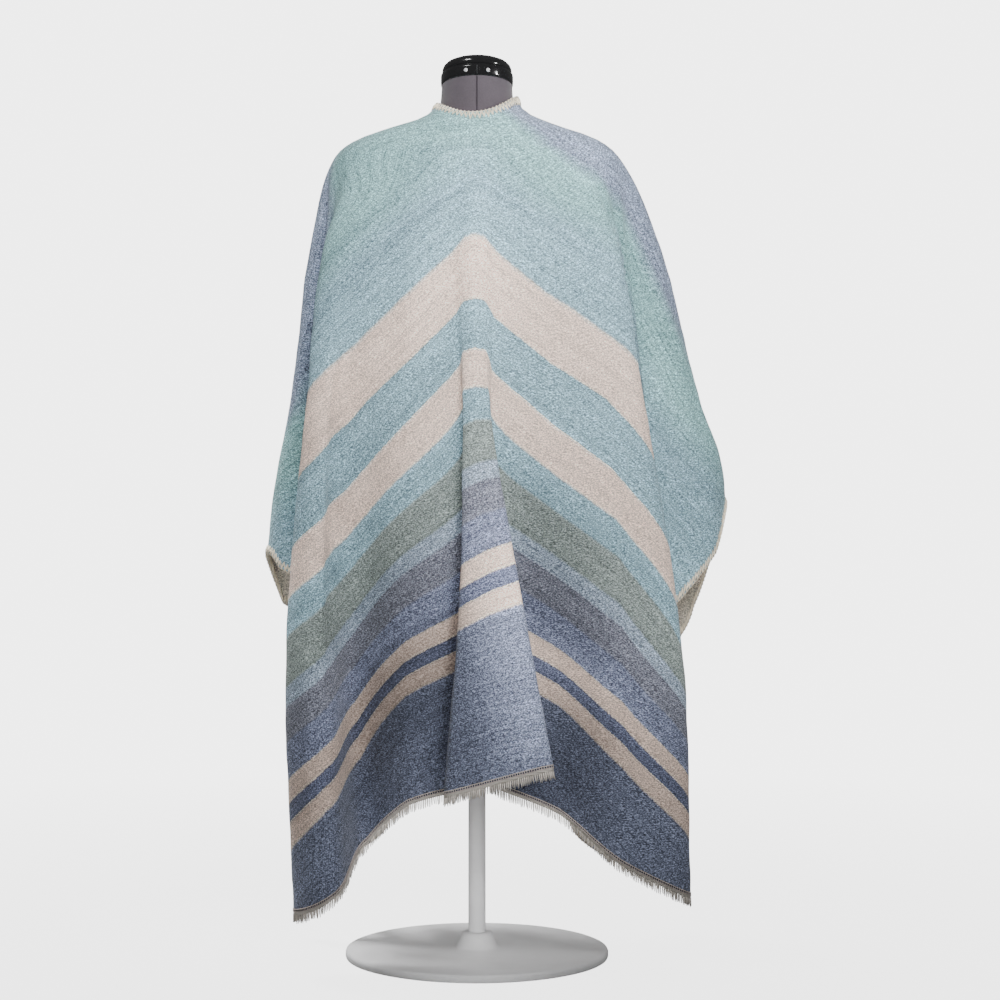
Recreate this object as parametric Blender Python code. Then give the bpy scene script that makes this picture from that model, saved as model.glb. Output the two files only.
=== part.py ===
"""Open-front knitted poncho wrap on a limbless dress form.

Metres, +Z up. The wrap's back faces -Y, its open front +Y. The origin is the
centre of the stand's underside, on the floor.

The wrap is one slit blanket with a hole for the neck. It is worked out from
fold lines that run from the neck edge, over the shoulders, down to the hem or
to a side edge. FOLDS has a row for each fold line, in order from the left
front edge, round the back, to the right front edge.
"""
import bpy
import math
import random
from collections import namedtuple
from mathutils import Vector

CM = 0.01

# ---------------------------------------------------------------- sizes
WALL = 0.0024               # cloth thickness
GAP = 0.0003                # gap between pieces that meet
CLEAR = 0.0048              # cloth's middle off the form, front and back
SHOULDER_CLEAR = 0.008      # the same beside the shoulder points

NECK_EDGE_RADIUS = 0.0578
NECK_EDGE_HEIGHT = 1.2118   # at the back
NECK_EDGE_RISE = 0.0252     # from the back to the sides
NECK_EDGE_TILT = 0.005      # the right side higher than the left, each by this much
NECK_EDGE_DIP = 0.0400      # from the sides to the front ends

NECK_DROP = 0.021               # from the neck edge to where the cloth meets the form
SLOPE_FOOT = 1.150              # down to here, fold lines lie on the shoulders
BLADE_LEVEL = 1.04              # height of the FOLDS columns x_blade, y_blade
WAIST_LEVEL = 0.80              # height of the FOLDS columns x_waist, y_waist

# Rings of the mesh, counted in stations along a fold line: 0 is the neck edge,
# 1 to 4 are on the shoulders, 5 the blades, 6 the waist, 7 half way from there
# to the end, and 8 the end.
RINGS = (0, 1, 2, 3, 4, 5, 5.6, 6.2, 6.8, 7.4, 8)
# Mesh columns between two fold lines, close to the folds so that they are round.
SHARES = (0, 0.16, 0.5, 0.84)
FOLD_ROUNDING = 0.5         # how wide a fold's bend is, as a share of its leg

BASE_RADIUS = 0.190
BASE_THICKNESS = 0.012
BASE_BEVEL = 0.004
HUB_RADIUS = 0.030
HUB_HEIGHT = 0.035
POLE_RADIUS = 0.0125
COLLAR_RADIUS = 0.040
COLLAR_HEIGHT = 0.020
TORSO_BOTTOM = 0.600

FRINGE_GAP = 0.0005
FRINGE_STRAND_PITCH = 0.0185
FRINGE_STRAND_WIDTH = 0.0100
FRINGE_STRAND_LENGTH = 0.0110
FRINGE_STRIP_HEIGHT = 0.0025
FRINGE_THICKNESS = 0.0020

# ---------------------------------------------------------------- dress form
Section = namedtuple("Section", "z half_width front back roundness")    # 1 is an ellipse
FORM = [
    Section(0.600, 0.158, 0.112, 0.118, 0.85),
    Section(0.615, 0.166, 0.119, 0.124, 0.85),
    Section(0.660, 0.170, 0.118, 0.124, 0.85),
    Section(0.740, 0.163, 0.105, 0.118, 0.85),
    Section(0.850, 0.127, 0.090, 0.092, 0.85),
    Section(0.930, 0.132, 0.104, 0.097, 0.85),
    Section(1.020, 0.152, 0.122, 0.108, 0.85),
    Section(1.080, 0.168, 0.110, 0.112, 0.85),
    Section(1.130, 0.196, 0.085, 0.098, 0.85),
    Section(1.153, 0.197, 0.069, 0.083, 0.85),
    Section(1.173, 0.170, 0.059, 0.069, 0.85),
    Section(1.195, 0.109, 0.055, 0.060, 0.90),
    Section(1.212, 0.060, 0.0525, 0.0535, 1.0),
    Section(1.232, 0.0545, 0.0535, 0.0535, 1.0),
    Section(1.2587, 0.0522, 0.0522, 0.0522, 1.0),
]
FORM_SIDES = 36

NECK_LEAN = 0.14            # how much the neck's top and the cap lean forward
LEAN_FROM = 1.222           # nothing leans below this height
LEAN_TO = 1.254             # and above this one all of it does

CapPoint = namedtuple("CapPoint", "radius z")
CAP = [
    CapPoint(0.0500, 1.2590),
    CapPoint(0.0522, 1.2600),
    CapPoint(0.0524, 1.2745),
    CapPoint(0.0495, 1.2755),
    CapPoint(0.0495, 1.2770),
    CapPoint(0.0505, 1.2780),
    CapPoint(0.0492, 1.2840),
    CapPoint(0.0445, 1.2895),
    CapPoint(0.0350, 1.2930),
    CapPoint(0.0180, 1.2948),
]
CAP_SIDES = 36

# ---------------------------------------------------------------- folds
# turn: plan direction on the shoulders in degrees, 0 is the centre back, +90
# the right side. bow: how far the line swings out half way from waist to end.
# The rest are centimetres. part tells what the end lies on.
Fold = namedtuple(
    "Fold", "name part turn x_blade y_blade x_waist y_waist bow x_end y_end z_end")
FOLDS = [
    Fold("front_edge_l", "front", -164, -3.9, 13.6, -4.6, 14.0, 0, -6.0, 16.0, 27.0),
    Fold("front_crest_l", "front", -155, -5.6, 14.3, -7.0, 16.6, 0, -9.5, 23.0, 25.5),
    Fold("front_hollow_l", "front", -146, -7.8, 13.2, -8.8, 13.0, 0, -10.0, 11.6, 23.5),
    Fold("front_ridge_l", "front", -137, -10.2, 13.6, -12.4, 15.8, 0, -16.0, 22.4, 20.5),
    Fold("front_dip_l", "front", -128, -12.6, 11.8, -14.4, 11.6, 0, -15.0, 9.6, 18.0),
    Fold("front_fold_l", "front", -120, -15.4, 11.2, -18.2, 13.4, 0, -22.4, 19.0, 14.0),
    Fold("front_tuck_l", "front", -113, -17.4, 9.2, -19.6, 9.6, 0, -19.8, 10.6, 12.0),
    Fold("front_turn_l", "front", -107, -19.4, 8.0, -22.8, 9.8, -1.0, -27.4, 13.6, 8.0),
    Fold("front_corner_l", "corner", -103, -19.8, 6.4, -21.2, 7.4, -0.5, -23.4, 8.4, 11.0),
    Fold("side_1_l", "side", -100, -19.9, 5.1, -19.4, 6.2, -1.0, -13.0, 6.0, 19.0),
    Fold("side_2_l", "side", -97, -20.9, 3.8, -23.8, 4.8, -1.0, -27.8, 4.6, 30.0),
    Fold("side_3_l", "side", -94, -21.2, 2.6, -19.6, 3.2, 0, -15.6, 3.0, 42.0),
    Fold("sleeve_front_l", "side", -91.5, -22.8, 1.3, -25.4, 2.2, -1.0, -28.4, 3.2, 51.0),
    Fold("sleeve_mid_l", "side", -89, -23.8, -0.4, -26.9, -0.3, -0.4, -30.4, 0.2, 57.8),
    Fold("sleeve_back_l", "side", -86.5, -23.0, -1.9, -26.0, -2.6, -0.6, -28.4, -3.0, 56.4),
    Fold("side_4_l", "side", -84, -21.3, -3.0, -19.6, -3.5, 0, -16.0, -3.0, 46.0),
    Fold("side_5_l", "side", -80, -21.5, -4.4, -23.2, -5.3, -1.0, -26.4, -5.2, 31.0),
    Fold("side_6_l", "side", -76, -20.5, -5.8, -19.6, -6.9, 0, -15.4, -5.0, 21.5),
    Fold("back_corner_l", "corner", -72, -20.6, -7.3, -22.4, -8.7, -1.4, -23.4, -8.4, 10.5),
    Fold("back_turn_l", "back", -66, -20.8, -9.0, -23.7, -11.4, -2.0, -25.4, -13.2, 8.4),
    Fold("back_swell_l", "back", -54, -18.0, -11.4, -21.0, -13.4, -0.8, -20.0, -18.6, 11.2),
    Fold("back_hollow_l", "back", -42, -14.0, -12.4, -17.8, -12.2, -1.2, -15.4, -9.4, 17.8),
    Fold("back_panel_l", "back", -26, -7.8, -13.6, -9.8, -14.8, -0.6, -9.4, -13.0, 23.6),
    Fold("pleat_under_l", "back", -11, -3.2, -13.75, -2.0, -15.0, 0.3, 0.4, -15.6, 26.2),
    Fold("pleat_left", "back", -6, -1.7, -14.25, -1.8, -16.1, 0.8, -4.4, -22.0, 25.8),
    Fold("pleat_face", "back", -1, -0.4, -14.65, -0.1, -16.8, 0.15, 3.0, -24.0, 27.9),
    Fold("pleat_right", "back", 4, 1.0, -14.3, 1.5, -16.2, -0.3, 10.2, -24.4, 29.7),
    Fold("pleat_under_r", "back", 10, 2.6, -13.7, 1.9, -14.9, 0, 1.9, -15.6, 26.8),
    Fold("back_panel_r", "back", 27, 8.2, -13.4, 10.4, -14.4, 0.4, 11.6, -11.4, 22.0),
    Fold("back_side_r", "back", 44, 13.8, -12.2, 17.8, -13.0, 1.2, 20.0, -14.6, 15.4),
    Fold("back_turn_r", "back", 60, 19.0, -9.6, 23.2, -11.2, 2.1, 29.8, -12.0, 10.4),
    Fold("back_corner_r", "corner", 66, 19.6, -7.8, 22.4, -8.8, 1.6, 26.2, -8.0, 12.4),
    Fold("side_6_r", "side", 71, 19.6, -6.4, 19.4, -7.2, 0.6, 14.6, -5.6, 22.5),
    Fold("side_5_r", "side", 76, 21.0, -5.1, 23.8, -5.8, 1.4, 27.6, -5.6, 33.0),
    Fold("side_4_r", "side", 81, 21.2, -3.8, 19.8, -3.9, 0.4, 16.8, -3.2, 45.0),
    Fold("sleeve_panel_r", "side", 84, 23.0, -3.0, 26.4, -4.0, 0.4, 28.6, -4.6, 51.4),
    Fold("sleeve_back_r", "side", 87, 25.0, -2.0, 30.8, -2.6, 1.0, 34.2, -3.0, 58.4),
    Fold("sleeve_mid_r", "side", 90, 26.0, 0.0, 32.4, 0.0, 0.8, 36.0, 0.6, 65.0),
    Fold("sleeve_front_r", "side", 93, 24.8, 1.8, 29.8, 2.6, 1.0, 31.8, 4.0, 50.5),
    Fold("sleeve_tuck_r", "side", 96, 22.8, 2.9, 25.8, 3.8, 0.8, 29.2, 4.8, 44.8),
    Fold("side_3_r", "side", 99, 21.2, 3.9, 19.8, 4.2, 0.6, 16.0, 3.4, 39.0),
    Fold("side_2_r", "side", 103, 21.0, 5.2, 23.6, 6.2, 1.4, 27.2, 7.2, 28.5),
    Fold("side_1_r", "side", 107, 19.8, 6.5, 19.4, 7.9, 0.6, 14.0, 8.4, 18.0),
    Fold("front_corner_r", "corner", 111, 19.6, 8.0, 21.8, 9.4, 0.8, 23.8, 10.8, 10.5),
    Fold("front_turn_r", "front", 116, 18.0, 9.8, 22.0, 11.6, 1.2, 27.6, 15.2, 8.4),
    Fold("front_tuck_r", "front", 123, 15.4, 10.8, 18.2, 11.2, 0, 19.6, 12.6, 12.5),
    Fold("front_fold_r", "front", 130, 13.2, 12.6, 16.2, 14.6, 0, 21.4, 20.4, 15.0),
    Fold("front_dip_r", "front", 138, 10.4, 12.6, 12.6, 12.4, 0, 14.6, 10.4, 19.0),
    Fold("front_ridge_r", "front", 146, 8.2, 14.2, 10.4, 16.4, 0, 15.0, 23.2, 21.5),
    Fold("front_hollow_r", "front", 152, 6.2, 13.6, 7.2, 13.4, 0, 9.2, 12.0, 24.0),
    Fold("front_crest_r", "front", 158, 4.9, 14.4, 6.2, 16.6, 0, 9.0, 22.6, 26.0),
    Fold("front_edge_r", "front", 165, 3.6, 13.6, 4.4, 14.0, 0, 5.4, 16.4, 27.0),
]


# ---------------------------------------------------------------- helpers
def clear_scene():
    for thing in list(bpy.data.objects):
        bpy.data.objects.remove(thing)


def material(name, colour, roughness, metallic=0.0):
    made = bpy.data.materials.new(name)
    made.use_nodes = True
    shader = made.node_tree.nodes["Principled BSDF"]
    shader.inputs["Base Color"].default_value = (*colour, 1.0)
    shader.inputs["Roughness"].default_value = roughness
    shader.inputs["Metallic"].default_value = metallic
    made.diffuse_color = (*colour, 1.0)
    return made


def solid(name, points, faces, finish, smooth=True):
    """A named object from points and faces, its faces turned outwards."""
    mesh = bpy.data.meshes.new(name)
    mesh.from_pydata(points, [], faces)
    mesh.validate()
    if smooth:
        mesh.shade_smooth()
        mesh.set_sharp_from_angle(angle=math.radians(40))
    mesh.materials.append(finish)
    made = bpy.data.objects.new(name, mesh)
    bpy.context.scene.collection.objects.link(made)
    return made


def lean(point):
    """The neck's top and the cap lean towards the front."""
    x, y, z = point
    share = min(1.0, max(0.0, (z - LEAN_FROM) / (LEAN_TO - LEAN_FROM)))
    return (x, y, z - y * NECK_LEAN * share)


def turned(name, profile, sides, finish):
    """A closed turned solid from (radius, z) pairs, bottom to top."""
    points = []
    for radius, z in profile:
        for i in range(sides):
            angle = math.tau * i / sides
            points.append(lean((radius * math.cos(angle), radius * math.sin(angle), z)))
    faces = [tuple(range(sides))[::-1]]
    for j in range(len(profile) - 1):
        for i in range(sides):
            k = (i + 1) % sides
            faces.append((j * sides + i, j * sides + k, (j + 1) * sides + k, (j + 1) * sides + i))
    top = (len(profile) - 1) * sides
    faces.append(tuple(top + i for i in range(sides)))
    return solid(name, points, faces, finish)


def heading(before, here, after):
    """The direction in which a smooth curve passes a station."""
    if before is None:
        return (after - here).normalized()
    if after is None:
        return (here - before).normalized()
    return ((after - here).normalized() + (here - before).normalized()).normalized()


def smooth_through(stations, t, rounding=0.0):
    """A point at station t on a smooth curve through the stations.

    Where the curve turns back, rounding makes it bend in a round fold."""
    last = len(stations) - 1
    i = min(int(t), last - 1)
    a, b = stations[i], stations[i + 1]
    leg = b - a
    ways = [
        heading(stations[i - 1] if i > 0 else None, a, b),
        heading(a, b, stations[i + 2] if i + 2 <= last else None),
    ]
    pulls = []
    for way in ways:
        straight = max(0.0, way.dot(leg.normalized()))
        pulls.append(way * leg.length * (rounding + (1 - rounding) * straight))
    f = t - i
    return (
        a * (2 * f**3 - 3 * f**2 + 1) + pulls[0] * (f**3 - 2 * f**2 + f)
        + b * (3 * f**2 - 2 * f**3) + pulls[1] * (f**3 - f**2))


def folded_through(stations, t):
    """A point on a folded curve: round folds in plan, a smooth run of heights."""
    plan = smooth_through([Vector((p.x, p.y, 0)) for p in stations], t, FOLD_ROUNDING)
    last = len(stations) - 1
    i = min(int(t), last - 1)
    heights = [stations[min(max(k, 0), last)].z for k in (i - 1, i, i + 1, i + 2)]
    before, here, there, after = heights
    f = t - i
    plan.z = (
        here * (2 * f**3 - 3 * f**2 + 1) + (there - before) / 2 * (f**3 - 2 * f**2 + f)
        + there * (3 * f**2 - 2 * f**3) + (after - here) / 2 * (f**3 - f**2))
    return plan


# ---------------------------------------------------------------- the form
def form_section(z):
    """The form's half width, front depth, back depth and roundness at a height."""
    for low, high in zip(FORM, FORM[1:]):
        if z <= high.z:
            share = max(0.0, (z - low.z) / (high.z - low.z))
            return [low[k] + (high[k] - low[k]) * share for k in (1, 2, 3, 4)]
    return list(FORM[-1][1:])


def form_radius(turn, z):
    """How far the form reaches from its axis in a plan direction."""
    half_width, front, back, roundness = form_section(z)
    across = abs(math.sin(turn)) / half_width
    along = abs(math.cos(turn)) / (back if math.cos(turn) > 0 else front)
    power = 2 / roundness
    return (across**power + along**power) ** (-1 / power)


def build_form(jersey):
    rows = []
    for z, half_width, front, back, roundness in FORM:
        row = []
        for i in range(FORM_SIDES):
            angle = math.tau * i / FORM_SIDES
            c, s = math.cos(angle), math.sin(angle)
            x = half_width * math.copysign(abs(c) ** roundness, c)
            y = (front if s > 0 else back) * math.copysign(abs(s) ** roundness, s)
            row.append(lean((x, y, z)))
        rows.append(row)
    points = [point for row in rows for point in row]
    faces = [tuple(range(FORM_SIDES))[::-1]]
    for j in range(len(rows) - 1):
        for i in range(FORM_SIDES):
            k = (i + 1) % FORM_SIDES
            faces.append((
                j * FORM_SIDES + i, j * FORM_SIDES + k,
                (j + 1) * FORM_SIDES + k, (j + 1) * FORM_SIDES + i))
    top = (len(rows) - 1) * FORM_SIDES
    faces.append(tuple(top + i for i in range(FORM_SIDES)))
    return solid("dress_form_torso", points, faces, jersey)


# ---------------------------------------------------------------- the wrap
def fold_stations(fold):
    """The points that a fold line passes through, neck edge to end."""
    turn = math.radians(fold.turn)
    way = Vector((math.sin(turn), -math.cos(turn), 0))
    side = 1 - abs(abs(fold.turn) - 90) / 90
    if abs(fold.turn) < 90:
        height = NECK_EDGE_HEIGHT + NECK_EDGE_RISE * math.sin(turn)**2
    else:
        height = NECK_EDGE_HEIGHT + NECK_EDGE_RISE - NECK_EDGE_DIP * (1 - side) ** 2
    height += NECK_EDGE_TILT * math.sin(turn)
    stations = [way * NECK_EDGE_RADIUS + Vector((0, 0, height))]
    off = CLEAR + (SHOULDER_CLEAR - CLEAR) * side**2
    top = height - NECK_DROP
    for share in (0, 1 / 3, 2 / 3, 1):
        level = top + (SLOPE_FOOT - top) * share
        reach = form_radius(turn, level) + off
        stations.append(way * reach + Vector((0, 0, level + CLEAR)))
    stations.append(Vector((fold.x_blade * CM, fold.y_blade * CM, BLADE_LEVEL)))
    waist = Vector((fold.x_waist * CM, fold.y_waist * CM, WAIST_LEVEL))
    end = Vector((fold.x_end * CM, fold.y_end * CM, fold.z_end * CM))
    stations.append(waist)
    stations.append((waist + end) / 2 + Vector((fold.bow * CM, 0, 0)))
    stations.append(end)
    return stations


def wrap_grid():
    """The wrap's middle surface: a row of points for each ring."""
    lines = [fold_stations(fold) for fold in FOLDS]
    grid = []
    for ring in RINGS:
        across = [smooth_through(line, ring) for line in lines]
        row = []
        for leg in range(len(lines) - 1):
            row += [folded_through(across, leg + share) for share in SHARES]
        row.append(across[-1])
        grid.append(row)
    return grid


def grid_normals(grid):
    """Unit vectors square to the surface, pointing away from the form."""
    rows, columns = len(grid), len(grid[0])
    normals = []
    for j in range(rows):
        row = []
        for i in range(columns):
            along = grid[min(j + 1, rows - 1)][i] - grid[max(j - 1, 0)][i]
            left = grid[j][i] - grid[j][i - 1] if i > 0 else Vector()
            right = grid[j][i + 1] - grid[j][i] if i + 1 < columns else Vector()
            around = left.normalized() + right.normalized()
            row.append(along.cross(around).normalized())
        normals.append(row)
    return normals


def build_wrap(cloth):
    grid = wrap_grid()
    normals = grid_normals(grid)
    rows, columns = len(grid), len(grid[0])
    points = []
    for side in (0.5, -0.5):
        for j in range(rows):
            for i in range(columns):
                points.append(grid[j][i] + normals[j][i] * WALL * side)
    half = rows * columns

    def outer(j, i):
        return j * columns + i

    faces = []
    for j in range(rows - 1):
        for i in range(columns - 1):
            corners = (outer(j, i), outer(j + 1, i), outer(j + 1, i + 1), outer(j, i + 1))
            one, two, three, four = corners
            if (points[one] - points[three]).length < (points[two] - points[four]).length:
                halves = ((one, two, three), (one, three, four))
            else:
                halves = ((two, three, four), (two, four, one))
            for triangle in halves:
                faces.append(triangle)
                faces.append(tuple(half + k for k in triangle[::-1]))
    for i in range(columns - 1):
        for j, flip in ((0, False), (rows - 1, True)):
            a, b = outer(j, i), outer(j, i + 1)
            rim = (a, b, half + b, half + a)
            faces.append(rim[::-1] if flip else rim)
    for j in range(rows - 1):
        for i, flip in ((0, True), (columns - 1, False)):
            a, b = outer(j, i), outer(j + 1, i)
            rim = (a, b, half + b, half + a)
            faces.append(rim if not flip else rim[::-1])
    return solid("wrap_blanket", points, faces, cloth)


# ---------------------------------------------------------------- fringe
def hem_columns():
    """The mesh columns of each fringed hem: left front, back, right front."""
    corners = [i * len(SHARES) for i, fold in enumerate(FOLDS) if fold.part == "corner"]
    last = (len(FOLDS) - 1) * len(SHARES)
    return {
        "fringe_front_left": (0, corners[0]),
        "fringe_back": (corners[1], corners[2]),
        "fringe_front_right": (corners[3], last),
    }


def hem_frames(first, last):
    """For each column of a hem: its edge point, the way down and the way out."""
    grid = wrap_grid()
    normals = grid_normals(grid)
    edge = grid[-1]
    frames = []
    for i in range(first, last + 1):
        along = (edge[min(i + 1, last)] - edge[max(i - 1, first)]).normalized()
        out = normals[-1][i]
        down = out.cross(along).normalized()
        if down.z > 0:
            down = -down
        frames.append((edge[i], down, out))
    return frames


def build_fringe(name, first, last, yarn):
    """A narrow strip under a hem's edge with strands that hang from it."""
    rng = random.Random(name)
    frames = hem_frames(first, last)
    stops = []          # a frame at each cut of the strip, and if a strand follows
    for (a, a_down, a_out), (b, b_down, b_out) in zip(frames, frames[1:]):
        length = (b - a).length
        count = round(length / FRINGE_STRAND_PITCH)
        margin = (length / max(count, 1) - FRINGE_STRAND_WIDTH) / 2 / length

        def between(share):
            return (
                a.lerp(b, share), a_down.lerp(b_down, share).normalized(),
                a_out.lerp(b_out, share).normalized())

        stops.append((between(0.0), False))
        for k in range(count):
            stops.append((between(k / count + margin), True))
            stops.append((between((k + 1) / count - margin), False))
    stops.append((frames[-1], False))

    points = []
    for (edge, down, out), _ in stops:
        low = edge + down * (FRINGE_GAP + FRINGE_STRIP_HEIGHT)
        points.append(edge + down * FRINGE_GAP)
        points.append(low + out * FRINGE_THICKNESS / 2)
        points.append(low - out * FRINGE_THICKNESS / 2)
    faces = [(0, 2, 1)]
    for k in range(len(stops) - 1):
        top, low_out, low_in = range(3 * k, 3 * k + 3)
        faces.append((top, low_out, low_out + 3, top + 3))
        faces.append((low_in, top, top + 3, low_in + 3))
        if not stops[k][1]:
            faces.append((low_out, low_in, low_in + 3, low_out + 3))
            continue
        edge, down, out = stops[k][0]
        width = points[low_out + 3] - points[low_out]
        reach = FRINGE_STRAND_LENGTH * rng.uniform(0.75, 1.1)
        sway = width * rng.uniform(0.0, 0.5) + out * rng.uniform(-0.0015, 0.0015)
        tip = len(points)
        middle = (points[low_out] + points[low_in]) / 2
        points.append(middle + down * reach + sway)
        points.append(middle + down * reach + sway + width * 0.5)
        faces.append((low_out, tip, tip + 1, low_out + 3))
        faces.append((low_in + 3, tip + 1, tip, low_in))
        faces.append((low_in, tip, low_out))
        faces.append((low_out + 3, tip + 1, low_in + 3))
    end = 3 * (len(stops) - 1)
    faces.append((end, end + 1, end + 2))
    return solid(name, points, faces, yarn, smooth=False)


# ---------------------------------------------------------------- stand
def build_stand(steel):
    base = [
        (BASE_RADIUS - BASE_BEVEL / 2, 0.0),
        (BASE_RADIUS, BASE_BEVEL / 2),
        (BASE_RADIUS, BASE_THICKNESS - BASE_BEVEL),
        (BASE_RADIUS - BASE_BEVEL, BASE_THICKNESS),
        (HUB_RADIUS, BASE_THICKNESS),
        (HUB_RADIUS * 0.7, HUB_HEIGHT),
    ]
    turned("stand_base", base, 48, steel)
    foot = HUB_HEIGHT + GAP
    head = TORSO_BOTTOM - GAP
    pole = [
        (POLE_RADIUS, foot),
        (POLE_RADIUS, head - COLLAR_HEIGHT),
        (COLLAR_RADIUS, head - COLLAR_HEIGHT / 2),
        (COLLAR_RADIUS, head),
    ]
    turned("stand_pole", pole, 24, steel)


def build():
    clear_scene()
    cloth = material("wrap_cloth", (0.32, 0.40, 0.46), 0.9)
    yarn = material("fringe_yarn", (0.45, 0.42, 0.37), 0.95)
    jersey = material("form_jersey", (0.19, 0.17, 0.19), 0.85)
    plastic = material("cap_plastic", (0.012, 0.012, 0.013), 0.2)
    steel = material("stand_steel", (0.60, 0.60, 0.61), 0.45)
    build_form(jersey)
    cap = [(point.radius, point.z) for point in CAP]
    turned("neck_cap", cap, CAP_SIDES, plastic)
    build_stand(steel)
    build_wrap(cloth)
    for name, (first, last) in hem_columns().items():
        build_fringe(name, first, last, yarn)


build()
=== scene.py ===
"""Looks of an open-front striped poncho wrap on a limbless dress form.

Metres, +Z up. The wrap's back faces -Y and its open front +Y. Every fine piece
is worked out from the same named sizes and fold lines as the solid it stands
for, so it lies where that solid is.
"""
import math
import random
from collections import namedtuple

import bpy
import numpy as np
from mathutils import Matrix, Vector, noise


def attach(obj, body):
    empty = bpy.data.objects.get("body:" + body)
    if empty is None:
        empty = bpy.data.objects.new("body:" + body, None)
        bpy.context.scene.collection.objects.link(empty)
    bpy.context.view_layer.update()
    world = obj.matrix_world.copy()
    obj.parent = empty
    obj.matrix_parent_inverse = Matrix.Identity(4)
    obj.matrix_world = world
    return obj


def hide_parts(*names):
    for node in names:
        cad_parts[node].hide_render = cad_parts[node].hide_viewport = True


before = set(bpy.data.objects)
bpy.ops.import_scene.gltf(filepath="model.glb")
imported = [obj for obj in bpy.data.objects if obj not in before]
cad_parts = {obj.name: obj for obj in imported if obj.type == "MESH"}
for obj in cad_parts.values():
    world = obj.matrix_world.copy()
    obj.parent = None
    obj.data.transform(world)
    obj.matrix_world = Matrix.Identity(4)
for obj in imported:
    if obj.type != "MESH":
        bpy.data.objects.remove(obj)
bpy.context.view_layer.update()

CM = 0.01
MM = 0.001

# -------------------- studio
CAMERA_PLACE = (0.0, -3.2, 0.66)
CAMERA_LENS = 79.5
CAMERA_SENSOR = 36
CAMERA_SHIFT = 0.023  # the form stands a little left of the middle

AMBIENT = 0.12  # the backdrop's light on the form
BACKDROP = 4.5  # its brightness where the camera sees it
FLOOR_FADE = 0.7  # how much of the backdrop shows through the floor's middle
FLOOR_RADIUS = 2.2
FLOOR_COLOUR = (240, 240, 240)

# Soft area lights. power is in watts and spread in degrees. Only a mirrored
# one shows as a highlight on the glossy cap.
Lamp = namedtuple("Lamp", "name place target size power spread mirrored")
LAMPS = [Lamp(*row) for row in (
    ("key", (0.35, -1.45, 1.62), (0, -0.15, 0.93), (1.1, 0.35), 6.5, 62, False),
    ("left", (-1.2, -0.9, 2.1), (-0.15, 0, 1.15), (0.4, 0.4), 1.6, 60, False),
    ("front_left", (-0.9, 1.9, 1.8), (0, 0, 0.8), (1.0, 1.4), 12, 140, False),
    ("front_right", (1.3, 1.6, 1.6), (0, 0, 0.8), (1.0, 1.4), 9, 140, False),
    ("pleat", (0.25, -1.1, 1.0), (0.07, -0.23, 0.50), (0.25, 0.25), 0.26, 28, False),
    ("cuff_right", (0.60, -1.1, 0.20), (0.32, 0.02, 0.51), (0.12, 0.12), 0.045, 16, False),
    ("cuff_left", (-0.50, -1.1, 0.25), (-0.285, 0, 0.545), (0.12, 0.12), 0.03, 14, False),
    ("strip_right", (1.5, -0.75, 1.30), (0, 0, 1.27), (0.10, 0.55), 0.45, 22, True),
    ("strip_left", (-0.75, -1.0, 2.35), (0, 0, 1.28), (0.9, 0.12), 0.35, 22, True),
    ("pole", (0, -1.6, 0.10), (0, 0, 0.11), (0.1, 0.1), 0.10, 13, False),
    ("foot", (-0.7, 0.5, 1.3), (0, 0, 0), (0.4, 0.4), 3, 50, False),
)]

# -------------------- wrap sizes
WALL = 0.0020
CLEAR = 0.0048  # cloth's middle off the form, front and back
SHOULDER_CLEAR = 0.008  # the same beside the shoulder points
FORM_GAP = 0.0022  # least distance from the form to the cloth's middle

NECK_EDGE_RADIUS = 0.0578
NECK_EDGE_HEIGHT = 1.2118  # at the back
NECK_EDGE_RISE = 0.0252  # from the back to the sides
NECK_EDGE_TILT = 0.005  # the right side up and the left side down, each by this much
NECK_EDGE_DIP = 0.0400  # from the sides down to the centre front
NECK_DROP = 0.021  # from the neck edge to where the cloth meets the form
SLOPE_FOOT = 1.150  # down to here, fold lines lie on the shoulders
BLADE_LEVEL = 1.04
WAIST_LEVEL = 0.80
FOLD_ROUNDING = 0.5  # how wide a fold's bend is, as a share of its leg

RING_STEPS = (3, 3, 3, 3, 12, 24, 28, 28)  # mesh rows from each station to the next
LEG_STEPS = {"back": 12, "corner": 8, "side": 7, "front": 7}  # mesh columns between fold lines

# -------------------- dress form
# Plan sections. front and back are depths, and a roundness of 1 is an ellipse.
Section = namedtuple("Section", "z half_width front back roundness")
FORM = [Section(*row) for row in (
    (0.600, 0.158, 0.112, 0.118, 0.85),
    (0.615, 0.166, 0.119, 0.124, 0.85),
    (0.660, 0.170, 0.118, 0.124, 0.85),
    (0.740, 0.163, 0.105, 0.118, 0.85),
    (0.850, 0.127, 0.090, 0.092, 0.85),
    (0.930, 0.132, 0.104, 0.097, 0.85),
    (1.020, 0.152, 0.122, 0.108, 0.85),
    (1.080, 0.168, 0.110, 0.112, 0.85),
    (1.130, 0.196, 0.085, 0.098, 0.85),
    (1.153, 0.197, 0.069, 0.083, 0.85),
    (1.173, 0.170, 0.059, 0.069, 0.85),
    (1.195, 0.109, 0.055, 0.060, 0.90),
    (1.212, 0.060, 0.0525, 0.0535, 1),
    (1.232, 0.0545, 0.0535, 0.0535, 1),
    (1.2587, 0.0522, 0.0522, 0.0522, 1),
)]
FORM_SIDES = 120
FORM_STEPS = 6  # rings from one section to the next
FORM_SHRINK = 0.0012  # how far the form lies inside its solid
SEAM_RADIUS = 0.0009
SHARP_ANGLE = math.radians(50)

NECK_LEAN = 0.14  # how much the neck's top and the cap lean forward
LEAN_FROM = 1.222  # height where the lean begins
LEAN_TO = 1.254  # height where it is full

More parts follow.
